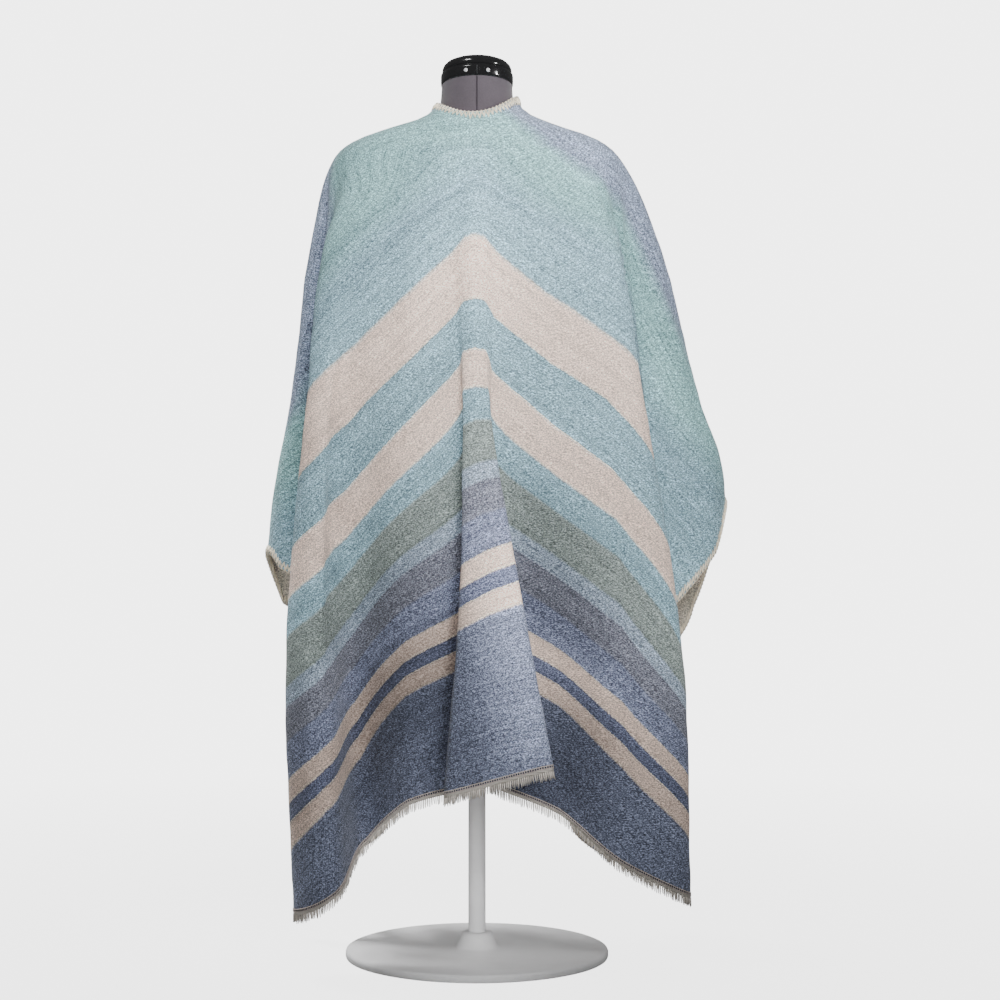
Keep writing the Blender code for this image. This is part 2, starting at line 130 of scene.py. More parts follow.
CapPoint = namedtuple("CapPoint", "radius z")
CAP = [CapPoint(*row) for row in (
    (0.0485, 1.2590),
    (0.0514, 1.2591),
    (0.0521, 1.2600),
    (0.0524, 1.2640),
    (0.0524, 1.2720),
    (0.0520, 1.2742),
    (0.0508, 1.2752),
    (0.0496, 1.2755),
    (0.0494, 1.2768),
    (0.0502, 1.2776),
    (0.0504, 1.2792),
    (0.0499, 1.2825),
    (0.0483, 1.2862),
    (0.0448, 1.2896),
    (0.0395, 1.2920),
    (0.0310, 1.2938),
    (0.0170, 1.2948),
)]
CAP_SIDES = 128
CAP_FACE = 0.0526  # how far out the screws and the joint line lie
JOINT_HEIGHTS = (1.2605, 1.2670, 1.2735)
JOINT_RADIUS = 0.0005
SCREW_SIDE = 0.0160  # of the cap's middle, each way
SCREW_HEIGHT = 1.2665
SCREW_RADIUS = 0.0028
HeadPoint = namedtuple("HeadPoint", "radius rise")  # a share of SCREW_RADIUS, and metres
SCREW_HEAD = [HeadPoint(*row) for row in (
    (1, -0.0006), (1, 0.0002), (0.85, 0.0008), (0.45, 0.0010), (0.40, 0.0003), (0.15, 0.0002),
)]

BASE_RADIUS = 0.190
BASE_THICKNESS = 0.012
HUB_RADIUS = 0.030
HUB_HEIGHT = 0.035
POLE_RADIUS = 0.0125
CLAMP_FROM = 0.300  # the pole's clamp ring, bottom and top
CLAMP_TO = 0.326
CLAMP_WALL = 0.003
COLLAR_RADIUS = 0.040
COLLAR_HEIGHT = 0.020
BEVEL = 0.002
GAP = 0.0003

# -------------------- folds
# turn: plan direction on the shoulders in degrees, 0 is the centre back, +90
# the right side. bow: how far the line swings to the right, half way from waist
# to end. The s columns are how far down the blanket, from its shoulder line, the
# cloth is at the blades, the waist, half way from there to the end, and the end.
# Every length is in centimetres. part tells what the end lies on.
Fold = namedtuple(
    "Fold",
    "name part turn x_blade y_blade x_waist y_waist bow x_end y_end z_end"
    " s_blade s_waist s_mid s_end")
FOLDS = [Fold(*row) for row in (
    ("front_edge_l", "front", -164, -3.9, 13.6, -4.6, 14, 0, -6, 16, 27, 16, 42, 70, 98),
    ("front_crest_l", "front", -155, -5.6, 14.3, -7, 16.6, 0, -9.5, 23, 25.5, 15, 40, 69, 98),
    ("front_hollow_l", "front", -146, -7.8, 13.2, -8.8, 13, 0, -10, 11.6, 23.5, 14, 39, 68, 97.5),
    ("front_ridge_l", "front", -137, -10.2, 13.6, -12.4, 15.8, 0, -16, 22.4, 20.5, 13, 37, 67, 97),
    ("front_dip_l", "front", -128, -12.6, 11.8, -14.4, 11.6, 0, -15, 9.6, 18, 11.5, 34, 65, 96.5),
    ("front_fold_l", "front", -120, -15.4, 11.2, -18.2, 13.4, 0, -22.4, 19, 14, 10, 31, 62, 96),
    ("front_tuck_l", "front", -113, -17.4, 9.2, -19.6, 9.6, 0, -19.8, 10.6, 12, 8.5, 29, 60, 95),
    ("front_turn_l", "front", -107, -19.4, 8, -22.8, 9.8, -1, -27.4, 13.6, 8, 7, 27, 58, 94),
    ("front_corner_l", "corner", -103, -19.8, 6.4, -21.2, 7.4, -0.5, -23.4, 8.4, 11, 6, 25, 56, 93),
    ("side_1_l", "side", -100, -19.9, 5.1, -19.4, 6.2, -1, -13, 6, 19, 5, 21, 47, 76),
    ("side_2_l", "side", -97, -20.9, 3.8, -23.8, 4.8, -1, -27.8, 4.6, 30, 4, 15, 33, 52),
    ("side_3_l", "side", -94, -21.2, 2.6, -19.6, 3.2, 0, -15.6, 3, 42, 2.5, 9, 19, 30),
    ("sleeve_front_l", "side", -91.5, -22.8, 1.3, -25.4, 2.2, -1, -28.4, 3.2, 51, 1, 3, 6, 10),
    ("sleeve_mid_l", "side", -89, -23.8, -0.4, -26.9, -0.3, -0.4, -30.4, 0.2, 57.8, 0, 1.5, 6, 12),
    ("sleeve_back_l", "side", -86.5, -23, -1.9, -26, -2.6, -0.6, -28.4, -3, 56.4, 1.5, 3.4, 9, 16),
    ("side_4_l", "side", -84, -21.3, -3, -19.6, -3.5, 0, -16, -3, 46, 1.5, 5, 14, 24),
    ("side_5_l", "side", -80, -21.5, -4.4, -23.2, -5.3, -1, -26.4, -5.2, 31, 3, 10, 27, 47),
    ("side_6_l", "side", -76, -20.5, -5.8, -19.6, -6.9, 0, -15.4, -5, 21.5, 4.5, 18, 43, 72.5),
    ("back_corner_l", "corner", -72, -20.6, -7.3, -22.4, -8.7, -1.4, -23.4, -8.4, 10.5, 5.7, 23.5, 53.5, 87),
    ("back_turn_l", "back", -66, -20.8, -9, -23.7, -11.4, -2, -25.4, -13.2, 8.4, 5.7, 23.4, 54.8, 88),
    ("back_swell_l", "back", -54, -18, -11.4, -21, -13.4, -0.8, -20, -18.6, 11.2, 8.2, 26.6, 58.2, 92),
    ("back_hollow_l", "back", -42, -14, -12.4, -17.8, -12.2, -1.2, -15.4, -9.4, 17.8, 10.9, 29.4, 59.9, 92.5),
    ("back_panel_l", "back", -26, -7.8, -13.6, -9.8, -14.8, -0.6, -9.4, -13, 23.6, 15.6, 37.5, 66.3, 97.3),
    ("pleat_under_l", "back", -11, -3.2, -13.75, -2, -15, 0.3, 0.4, -15.6, 26.2, 19.2, 46.3, 71.9, 100.4),
    ("pleat_left", "back", -6, -1.7, -14.25, -1.8, -16.1, 0.8, -4.4, -22, 25.8, 20.7, 48.9, 77.1, 104.3),
    ("pleat_face", "back", -1, -0.4, -14.65, -0.1, -16.8, 0.15, 3, -24, 27.9, 21.2, 49.5, 78.4, 105.4),
    ("pleat_right", "back", 4, 1, -14.3, 1.5, -16.2, -0.3, 10.2, -24.4, 29.7, 20.9, 49.3, 79, 104.6),
    ("pleat_under_r", "back", 10, 2.6, -13.7, 1.9, -14.9, 0, 1.9, -15.6, 26.8, 19.3, 45.3, 71.1, 98),
    ("back_panel_r", "back", 27, 8.2, -13.4, 10.4, -14.4, 0.4, 11.6, -11.4, 22, 14.9, 37.5, 66.4, 96.3),
    ("back_side_r", "back", 44, 13.8, -12.2, 17.8, -13, 1.2, 20, -14.6, 15.4, 11.6, 32.4, 62.8, 92.5),
    ("back_turn_r", "back", 60, 19, -9.6, 23.2, -11.2, 2.1, 29.8, -12, 10.4, 9.6, 26.8, 52.6, 88.5),
    ("back_corner_r", "corner", 66, 19.6, -7.8, 22.4, -8.8, 1.6, 26.2, -8, 12.4, 10.6, 30, 55.5, 89.5),
    ("side_6_r", "side", 71, 19.6, -6.4, 19.4, -7.2, 0.6, 14.6, -5.6, 22.5, 7.4, 23, 46.5, 76),
    ("side_5_r", "side", 76, 21, -5.1, 23.8, -5.8, 1.4, 27.6, -5.6, 33, 6.4, 19, 36, 56),
    ("side_4_r", "side", 81, 21.2, -3.8, 19.8, -3.9, 0.4, 16.8, -3.2, 45, 5.4, 15, 26, 38),
    ("sleeve_panel_r", "side", 84, 23, -3, 26.4, -4, 0.4, 28.6, -4.6, 51.4, 3.2, 10, 16.5, 22),
    ("sleeve_back_r", "side", 87, 25, -2, 30.8, -2.6, 1, 34.2, -3, 58.4, 1.2, 6.5, 12, 16),
    ("sleeve_mid_r", "side", 90, 26, 0, 32.4, 0, 0.8, 36, 0.6, 65, 0, 5, 7.5, 10),
    ("sleeve_front_r", "side", 93, 24.8, 1.8, 29.8, 2.6, 1, 31.8, 4, 50.5, 1.5, -1, 2, 6),
    ("sleeve_tuck_r", "side", 96, 22.8, 2.9, 25.8, 3.8, 0.8, 29.2, 4.8, 44.8, 2.5, 4, 9, 15),
    ("side_3_r", "side", 99, 21.2, 3.9, 19.8, 4.2, 0.6, 16, 3.4, 39, 3.5, 11, 23, 38),
    ("side_2_r", "side", 103, 21, 5.2, 23.6, 6.2, 1.4, 27.2, 7.2, 28.5, 5, 17, 35, 58),
    ("side_1_r", "side", 107, 19.8, 6.5, 19.4, 7.9, 0.6, 14, 8.4, 18, 6, 23, 48, 79),
    ("front_corner_r", "corner", 111, 19.6, 8, 21.8, 9.4, 0.8, 23.8, 10.8, 10.5, 7, 26, 56, 93),
    ("front_turn_r", "front", 116, 18, 9.8, 22, 11.6, 1.2, 27.6, 15.2, 8.4, 8, 28, 58, 94),
    ("front_tuck_r", "front", 123, 15.4, 10.8, 18.2, 11.2, 0, 19.6, 12.6, 12.5, 9, 30, 60, 95),
    ("front_fold_r", "front", 130, 13.2, 12.6, 16.2, 14.6, 0, 21.4, 20.4, 15, 10.5, 32, 62, 96),
    ("front_dip_r", "front", 138, 10.4, 12.6, 12.6, 12.4, 0, 14.6, 10.4, 19, 12, 35, 65, 96.5),
    ("front_ridge_r", "front", 146, 8.2, 14.2, 10.4, 16.4, 0, 15, 23.2, 21.5, 13, 38, 67, 97),
    ("front_hollow_r", "front", 152, 6.2, 13.6, 7.2, 13.4, 0, 9.2, 12, 24, 14, 40, 68, 97.5),
    ("front_crest_r", "front", 158, 4.9, 14.4, 6.2, 16.6, 0, 9, 22.6, 26, 15, 41, 69, 98),
    ("front_edge_r", "front", 165, 3.6, 13.6, 4.4, 14, 0, 5.4, 16.4, 27, 16, 42, 70, 98),
)]
SHOULDER_S = (4.5, 6.6, 7.8, 9.0, 10.2)  # above the blades, on the centre back
SHOULDER_POWER_L = 0.40  # how fast those shrink towards the sides
SHOULDER_POWER_R = 1.9

# Soft creases. Each runs from a place on the wrap to another: fold counts the
# fold lines from the left front edge, station the stations down a fold line.
# width and depth are in millimetres, and a depth below zero is a trough.
Crease = namedtuple("Crease", "fold_a station_a fold_b station_b width depth")
CREASES = [Crease(*row) for row in (
    (21.2, 4.6, 21.9, 6.2, 16, -3),
    (22.5, 5.3, 22.2, 7.6, 18, -3.5),
    (22, 5.8, 21.4, 8, 22, 4),
    (20.4, 5, 20.6, 7.2, 14, -2.5),
    (24.2, 7, 24.5, 8, 12, -2.5),
    (25.3, 6.6, 25.6, 8, 16, 2.5),
    (24.9, 5.2, 25, 6.4, 10, -1.2),
    (27.7, 5.6, 27.5, 7.8, 18, -3),
    (28.5, 4.8, 28.3, 6.6, 20, 2.5),
    (29.4, 5.4, 29.1, 7.9, 18, -3.2),
    (28.8, 6.6, 28.6, 8, 16, 2.6),
    (29.7, 4.6, 29.9, 5.9, 12, -1.8),
    (22.6, 4.2, 23, 5.4, 14, -1.5),
    (28, 4.2, 27.6, 5.3, 14, -1.6),
    (36.4, 4.9, 36.3, 7.4, 14, -2.4),
    (35.5, 5.2, 35.6, 6.8, 12, -2),
    (14.5, 5, 14.5, 7.2, 12, -2),
    (38.5, 5.2, 38.4, 7, 12, -2),
    (1.5, 5.2, 1.6, 7.6, 14, -2.2),
    (3.4, 5.6, 3.6, 7.8, 16, -2.4),
    (5.5, 5, 5.4, 7.2, 14, 2),
    (6.5, 5.8, 6.6, 7.9, 12, -1.8),
    (45.4, 5.4, 45.6, 7.7, 14, -2.2),
    (47.5, 5.1, 47.4, 7.3, 16, -2.4),
    (49.5, 5.6, 49.6, 7.9, 14, -2),
    (50.4, 5, 50.5, 6.8, 12, 1.6),
    (20.8, 5.7, 20.1, 7.3, 15, -9),
    (19.6, 6.6, 19.7, 7.9, 12, 2.5),
    (29.5, 5.6, 29.4, 6.3, 6, -1.6),
    (31, 4.5, 31.1, 5.6, 9, 4),
    (32.4, 4.4, 32.6, 5.7, 10, -6),
    (30.6, 4.15, 30.7, 6, 8, -8),
    (34.9, 5, 36.2, 5.75, 9, 5),
    (34.4, 5.2, 35.6, 6, 9, -3),
    (14.6, 4.6, 15, 6.4, 8, -2.5),
)]
CREASE_SAMPLES = 24  # points along a crease
CREASE_REACH = 1.2  # fold lines on each side that it can move
RUFFLE = 0.0011  # height of the cloth's small unevenness
RUFFLE_SCALES = (16, 37)  # coarse and fine, per metre
SMOOTH_TO = 4.0  # station down to which creases and ruffle only reach SMOOTH_SHARE
SMOOTH_FADE = 1.2  # stations over which they grow to their whole height
SMOOTH_SHARE = 0.15

# Soft patches of painted light and shade on the back. The darker ones, most of them,
# are painted shade in the folds and on the lower panels, and the lighter ones are painted
# light, mostly on the pleat's face and the centre ridge. They show in any light: an empty
# table leaves them out. across and down are the middle, on the blanket's back, in centimetres.
Patch = namedtuple("Patch", "across down half_width half_height tone")
PAINTED_LIGHT_AND_SHADE = [Patch(*row) for row in (
    (-15, 62, 9, 9, 0.60),
    (-20, 84, 13, 13, 0.36),
    (-36, 88, 12, 14, 0.85),
    (15, 65, 9, 9, 0.48),
    (26, 90, 10, 13, 0.37),
    (2, 86, 4, 14, 1.55),
    (4.5, 103, 3.5, 8, 1.30),
    (-4.5, 97, 4.5, 14, 0.55),
    (0.5, 58, 3.5, 22, 1.10),
    (0, 26, 3.5, 14, 1.25),
    (-10, 40, 7, 14, 0.90),
    (-10, 10, 8, 7, 0.80),
    (10, 10, 8, 7, 0.82),
    (-17, 74, 8, 7, 0.80),
    (10, 55, 7, 5, 0.75),
    (19.5, 8, 2.2, 4.5, 0.72),
    (19.5, 15, 2.6, 5, 0.60),
    (18.5, 23, 2.6, 6, 0.68),
    (24.5, 2, 4, 3, 0.74),
    (17.5, 4.5, 1.8, 4, 0.78),
    (-16, 1.5, 3.5, 2, 1.5),
    (-20, 6.5, 3, 3, 0.62),
    (-15, 12, 2, 5, 0.74),
    (-9.5, 33, 1.3, 5, 0.85),
    (-14, 41, 1.7, 5, 0.80),
    (-19.5, 49, 2, 5, 0.76),
    (-25, 56, 2.5, 6, 0.74),
)]

# -------------------- stripes
# From the blanket's shoulder line down to its hem, in centimetres, the same on
# its back and its front. Colours are those of the yarn, in display values.
# blend is the width in which a stripe starts, fleck how heathered the yarn is.
Stripe = namedtuple("Stripe", "top colour blend fleck")
LAVENDER = (134, 146, 168)
SEA = (141, 182, 184)
TEAL = (139, 170, 183)
BLUSH = (229, 206, 192)
SAGE = (137, 148, 145)
AQUA = (156, 171, 188)
CHARCOAL = (124, 127, 140)
SLATE = (125, 132, 156)
DARK_SLATE = (108, 114, 138)
STEEL = (122, 129, 151)
STRIPES = [Stripe(*row) for row in (
    (0, LAVENDER, 0, 1),
    (3.8, SEA, 1.8, 0.8),
    (10.5, TEAL, 5, 0.85),
    (22.5, BLUSH, 0, 0.55),
    (32.1, TEAL, 0, 0.85),
    (40.9, BLUSH, 0, 0.55),
    (47.4, TEAL, 0, 0.85),
    (52.6, SAGE, 0, 0.8),
    (59.3, AQUA, 0, 0.9),
    (62.3, CHARCOAL, 0, 0.9),
    (67.4, SLATE, 0, 1),
    (72.9, BLUSH, 0, 0.55),
    (76.1, DARK_SLATE, 0, 0.9),
    (78.9, BLUSH, 0, 0.55),
    (82.1, STEEL, 0, 1),
)]
FLECK_SCALE = (430, 430, 900)  # flecks per metre, each way
FLECK_DEPTH = 1.05  # how much lighter or darker a fleck is
SLUB_SCALE = (14, 260, 1)  # thick places in the yarn, per metre of flat cloth
SLUB_DEPTH = 0.12
STREAK_SCALE = (2.5, 60, 1)  # longer streaks across the blanket
STREAK_DEPTH = 0.17
TWILL_PITCH = 0.0042
TWILL_SLANT = 0.8  # how far a twill line moves across for each step down
TWILL_DEPTH = 0.16
WEFT_PITCH = 0.0070  # from one dark row of weft to the next
WEFT_SHARE = 0.24  # how much of that the row takes
WEFT_DARK = 0.66  # its tone
WEAVE_RELIEF = 0.0005  # height of the weave's ribs
STRIPE_SPAN = 1.2  # metres of blanket that the colour ramp covers
STRIPE_EDGE = 0.08  # blend of a stripe that has none of its own
STRIPE_RAGGED = 0.0012  # how far a stripe's edge wanders
EDGE_YARN = (226, 214, 196)  # pale yarn at the blush stripes' top and bottom
EDGE_YARN_WIDTH = 0.0009
BEIGE = (248, 236, 212)
TAUPE = (222, 206, 186)
YARN_GREY = (232, 225, 216)
HEM_DARK = (74, 76, 88)
HEM_THREAD_COLOUR = (202, 190, 184)
JERSEY = (82, 76, 82)
SEAM_COLOUR = (44, 38, 46)
CAP_BLACK = (22, 22, 23)
JOINT_BLACK = (58, 58, 60)
SCREW_GREY = (200, 200, 202)
STAND_GREY = (228, 228, 229)

# -------------------- sewing
STITCH_PITCH = 0.0060
STITCH_DEPTH = 0.0118
STITCH_THREAD = 0.00125
PURL_RADIUS = 0.0009
HEM_BAND = 0.0042  # the hem's pale band above its edge
HEM_ROWS = (0.0046, 0.0082)  # rows of hem stitching above the edge
HEM_PITCH = 0.0034  # from one rung of the hem's ladder to the next
HEM_THREAD = 0.00058
FRINGE_PITCH = 0.0029
FRINGE_LENGTH = 0.0125
FRINGE_RADIUS = 0.00115
FRINGE_ROOT = 0.0015  # how far inside the hem a strand starts
FRINGE_DROOP = 0.0008


# -------------------- helpers
def linear(colour):
    """Display colour, 0 to 255, to the linear values that shaders take."""
    made = []
    for value in colour:
        share = value / 255
        made.append(share / 12.92 if share <= 0.04045 else ((share + 0.055) / 1.055) ** 2.4)
    return (*made, 1.0)


def add_object(name, data):
    """A new object in the scene."""
    made = bpy.data.objects.new(name, data)
    bpy.context.scene.collection.objects.link(made)
    return made


def mesh_object(name, points, faces, finish, smooth=True):
    mesh = bpy.data.meshes.new(name)
    mesh.from_pydata([tuple(point) for point in points], [], faces)
    if smooth:
        mesh.shade_smooth()
    mesh.materials.append(finish)
    return add_object(name, mesh)


def place(piece, slot, *nodes):
    """The piece rides the one body and stands for the nodes it is made from."""
    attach(piece, "root")
    if nodes:
        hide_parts(*nodes)
    return piece


def lean(point):
    """The neck's top and the cap lean towards the front."""
    x, y, z = point
    share = min(1.0, max(0.0, (z - LEAN_FROM) / (LEAN_TO - LEAN_FROM)))
    return (x, y, z - y * NECK_LEAN * share)


def closed_rings(name, rows, finish):
    """A closed piece through rings of points, bottom to top."""
    sides = len(rows[0])
    faces = [tuple(range(sides))[::-1]]
    for j in range(len(rows) - 1):
        low, high = j * sides, (j + 1) * sides
        for i in range(sides):
            k = (i + 1) % sides
            faces.append((low + i, low + k, high + k, high + i))
    top = (len(rows) - 1) * sides
    faces.append(tuple(range(top, top + sides)))
    made = mesh_object(name, [point for row in rows for point in row], faces, finish)
    made.data.set_sharp_from_angle(angle=SHARP_ANGLE)
    return made


def turned(name, profile, sides, finish, shape=tuple):
    """A closed turned piece from (radius, z) pairs, bottom to top."""
    angles = [math.tau * i / sides for i in range(sides)]
    rows = [[shape((radius * math.cos(angle), radius * math.sin(angle), z)) for angle in angles]
            for radius, z in profile]
    return closed_rings(name, rows, finish)


class Threads:
    """Thin tubes gathered into one mesh."""

    def __init__(self, sides):
        self.sides = sides
        self.points = []
        self.faces = []

    def add(self, path, outs, radii):
        """A tube along the path, outs being a direction square to it at each point."""
        first = len(self.points)
        for k, (here, out, radius) in enumerate(zip(path, outs, radii)):
            along = path[min(k + 1, len(path) - 1)] - path[max(k - 1, 0)]
            side = along.cross(out)
            if side.length < 1e-9:
                side = along.orthogonal()
            side.normalize()
            up = side.cross(along).normalized()
            for i in range(self.sides):
                angle = math.tau * i / self.sides
                self.points.append(here + (side * math.cos(angle) + up * math.sin(angle)) * radius)
        for k in range(len(path) - 1):
            for i in range(self.sides):
                j = (i + 1) % self.sides
                low = first + k * self.sides
                high = low + self.sides
                self.faces.append((low + i, high + i, high + j, low + j))
        last = first + (len(path) - 1) * self.sides
        self.faces.append(tuple(range(first, first + self.sides)))
        self.faces.append(tuple(range(last, last + self.sides))[::-1])

    def piece(self, name, finish):
        return mesh_object(name, self.points, self.faces, finish)


# -------------------- materials
class Shader:
    """A material's or the world's nodes, with short calls for those it needs."""

    def __init__(self, name, owner=None, main="Principled BSDF"):
        self.owner = owner or bpy.data.materials.new(name)
        self.owner.use_nodes = True
        self.nodes = self.owner.node_tree.nodes
        self.links = self.owner.node_tree.links
        self.main = self.nodes[main]

    def put(self, kind, values=(), output=0, **settings):
        """Adds a node, sets or links its inputs and returns one of its outputs."""
        node = self.nodes.new("ShaderNode" + kind)
        for key, value in settings.items():
            setattr(node, key, value)
        for key, value in dict(values).items():
            self.feed(node.inputs[key], value)
        return node.outputs[output]

    def feed(self, socket, value):
        if isinstance(value, bpy.types.NodeSocket):
            self.links.new(value, socket)
        else:
            socket.default_value = value

    def math(self, operation, *values):
        return self.put("Math", enumerate(values), operation=operation)

    def uv(self, layer, scale=(1, 1, 1)):
        return self.put("Mapping", {0: self.put("UVMap", uv_map=layer), 3: scale})

    def split(self, layer):
        """The two coordinates of a UV layer."""
        return self.put("SeparateXYZ", {0: self.uv(layer)}).node.outputs[:2]

    def space(self, *scale):
        """The place in the object's own space."""
        return self.put("Mapping", {0: self.put("TexCoord", output="Object"), 3: scale})

    def noise(self, vector, detail=2.0, roughness=0.5):
        return self.put("TexNoise", {"Vector": vector, "Scale": 1.0,
                                     "Detail": detail, "Roughness": roughness})

    def stretch(self, value, low, high, to_low, to_high):
        return self.put("MapRange", enumerate((value, low, high, to_low, to_high)))

    def spread(self, noise, low, high):
        """A noise, most of which lies between 0.3 and 0.7, stretched from low to high."""
        return self.stretch(noise, 0.3, 0.7, low, high)

    def waves(self, scale, distortion, direction):
        """Bands on the flat cloth."""
        return self.put("TexWave", {0: self.uv("flat", scale), "Scale": 1.0, "Distortion": distortion,
                                    "Detail": 1.0}, 1, bands_direction=direction)

    def mix(self, share, one, two, blend="MIX"):
        return self.put("Mix", {0: share, 6: one, 7: two}, 2, data_type="RGBA", blend_type=blend)

    def bump(self, height, distance, strength):
        normal = self.put("Bump", {"Height": height, "Distance": distance, "Strength": strength})
        self.feed(self.main.inputs["Normal"], normal)

    def finish(self, **values):
        for key, value in values.items():
            self.feed(self.main.inputs[key.replace("_", " ")], value)
        return self.owner


def brightness(shader, colour, value):
    """The colour, lighter or darker by a value round 1."""
    return shader.mix(1.0, colour, shader.put("CombineColor", dict.fromkeys(range(3), value)), "MULTIPLY")


def twill_lines(shader):
    """The weave's slanting lines, light and dark round 0."""
    across, down = shader.split("flat")
    slant = shader.math("ADD", across, shader.math("MULTIPLY", down, TWILL_SLANT))
    wave = shader.math("PINGPONG", shader.math("DIVIDE", slant, TWILL_PITCH), 0.5)
    return shader.stretch(wave, 0.0, 0.5, -TWILL_DEPTH, TWILL_DEPTH)


def melange(shader, colour, contrast):
    """Heathered yarn: light and dark flecks, slubs, streaks along the weft and soft patches."""
    flecks = shader.stretch(shader.noise(shader.space(*FLECK_SCALE), 1.0, 0.6), 0.32, 0.68, -1.0, 1.0)
    slubs = shader.spread(shader.noise(shader.uv("flat", SLUB_SCALE)), -SLUB_DEPTH, SLUB_DEPTH)
    streaks = shader.spread(shader.noise(shader.uv("flat", STREAK_SCALE)), -STREAK_DEPTH, STREAK_DEPTH)
    total = shader.math("MULTIPLY", shader.math("ADD", flecks, slubs), FLECK_DEPTH)
    total = shader.math("ADD", total, shader.math("ADD", streaks, twill_lines(shader)))
    total = shader.math("MULTIPLY", total, contrast)
    patches = shader.spread(shader.noise(shader.uv("flat", (9, 14, 1))), 0.95, 1.05)
    return brightness(shader, colour, shader.math("MULTIPLY", shader.math("EXPONENT", total), patches))


def painted_light_and_shade_tone(shader):
    """How much the painted light and shade lightens or darkens each place, round 1."""
    flat = shader.uv("flat")
    total = 0.0
    for patch in PAINTED_LIGHT_AND_SHADE:
        middle = (patch.across * CM, patch.down * CM, 0)
        size = (patch.half_width * CM, patch.half_height * CM, 1)
        offset = shader.put("Mapping", {0: flat, 1: middle, 3: size}, vector_type="TEXTURE")
        gap = shader.put("VectorMath", {0: offset, 1: offset}, "Value", operation="DOT_PRODUCT")
        nearness = shader.math("EXPONENT", shader.math("MULTIPLY", gap, -1.0))
        total = shader.math("MULTIPLY_ADD", nearness, math.log(patch.tone), total)
    return shader.math("EXPONENT", total)


def weft_rows(shader, along):
    """1 in the dark broken rows of weft across the blanket, else 0."""
    row = shader.math("FRACT", shader.math("DIVIDE", along, WEFT_PITCH))
    dashes = shader.stretch(shader.noise(shader.uv("flat", (130, 70, 1))), 0.42, 0.55, 0.0, 1.0)
    return shader.math("MULTIPLY", shader.math("LESS_THAN", row, WEFT_SHARE), dashes)


def weave_bump(shader):
    """Fine ribs across the blanket with twill lines over them."""
    ribs = shader.math("MULTIPLY", shader.waves((0, 190, 0), 0.6, "Y"), 0.5)
    twill = shader.math("MULTIPLY", shader.waves((150, 150, 0), 1.0, "DIAGONAL"), 0.3)
    fuzz = shader.noise(shader.uv("flat", (700, 1100, 1)), 3.0, 0.6)
    shader.bump(shader.math("ADD", shader.math("ADD", ribs, twill), fuzz), WEAVE_RELIEF, 0.8)


def stripe_ramp(shader, position):
    """The stripes' colour and fleck at a distance from the shoulder line, in metres."""
    node = shader.put("ValToRGB", {0: shader.math("DIVIDE", position, STRIPE_SPAN)}).node
    stops = [(0.0, STRIPES[0])]
    for before, stripe in zip(STRIPES, STRIPES[1:]):
        width = stripe.blend or STRIPE_EDGE
        stops += [(stripe.top - width / 2, before), (stripe.top + width / 2, stripe)]
    elements = node.color_ramp.elements
    while len(elements) < len(stops):
        elements.new(0.5)
    for element, (top, stripe) in zip(elements, stops):
        element.position = top * CM / STRIPE_SPAN
        element.color = (*linear(stripe.colour)[:3], stripe.fleck)
    return node.outputs[:2]


CLOTH_LOOK = {"Roughness": 0.92, "Sheen_Weight": 0.15, "Sheen_Roughness": 0.5, "Specular_IOR_Level": 0.2}


def make_cloth_outside():
    shader = Shader("wrap_outside")
    along = shader.math("ABSOLUTE", shader.split("flat")[1])
    ragged = shader.noise(shader.uv("flat", (300, 60, 1)))
    along = shader.math("ADD", along, shader.stretch(ragged, 0.2, 0.8, -STRIPE_RAGGED, STRIPE_RAGGED))
    colour, fleck = stripe_ramp(shader, along)
    for before, stripe in zip(STRIPES, STRIPES[1:]):
        if BLUSH in (before.colour, stripe.colour):
            near = shader.math("COMPARE", along, stripe.top * CM, EDGE_YARN_WIDTH)
            colour = shader.mix(near, colour, linear(EDGE_YARN))
    colour = melange(shader, colour, fleck)
    weft = shader.math("MULTIPLY", weft_rows(shader, along), fleck)
    colour = brightness(shader, colour, shader.stretch(weft, 0.0, 1.0, 1.0, WEFT_DARK))
    # painted light and shade: lighter and darker patches fixed to the cloth
    colour = brightness(shader, colour, painted_light_and_shade_tone(shader))
    from_edge, on_hem = shader.split("edge")
    on_hem = shader.math("GREATER_THAN", on_hem, 0.5)
    for width, yarn in ((HEM_ROWS[1], HEM_DARK), (HEM_BAND, YARN_GREY)):
        in_band = shader.math("MULTIPLY", on_hem, shader.math("LESS_THAN", from_edge, width))
        colour = shader.mix(in_band, colour, linear(yarn))
    weave_bump(shader)
    return shader.finish(Base_Color=colour, **CLOTH_LOOK)


def make_cloth_inside():
    """The cloth's reverse: plain beige with the stripes faint in it."""
    shader = Shader("wrap_inside")
    colour, fleck = stripe_ramp(shader, shader.math("ABSOLUTE", shader.split("flat")[1]))
    colour = shader.mix(0.22, linear(TAUPE), colour)
    colour = melange(shader, colour, shader.math("MULTIPLY", fleck, 0.7))
    weave_bump(shader)
    return shader.finish(Base_Color=colour, **CLOTH_LOOK)


def make_yarn(name, colour, uneven=0.14, across=90, along=90):
    """Soft thread. uneven is how much its lighter and darker patches differ."""
    shader = Shader(name)
    fibres = shader.noise(shader.space(900, 900, 900))
    patches = shader.noise(shader.space(across, across, along))
    value = shader.math("MULTIPLY", shader.spread(fibres, 0.85, 1.12),
                        shader.spread(patches, 1 - uneven, 1 + uneven))
    shader.bump(fibres, 0.0002, 0.6)
    return shader.finish(Base_Color=brightness(shader, linear(colour), value), Roughness=0.9,
                         Sheen_Weight=0.2, Specular_IOR_Level=0.2)


def make_jersey():
    shader = Shader("form_jersey_fine")
    fibres = shader.noise(shader.space(1300, 1300, 600), 3.0, 0.6)
    patches = shader.noise(shader.space(40, 40, 40), 3.0)
    value = shader.math("MULTIPLY", shader.spread(fibres, 0.86, 1.12), shader.spread(patches, 0.95, 1.05))
    shader.bump(fibres, 0.0002, 0.5)
    return shader.finish(Base_Color=brightness(shader, linear(JERSEY), value), Roughness=0.85,
                         Sheen_Weight=0.3, Specular_IOR_Level=0.25)


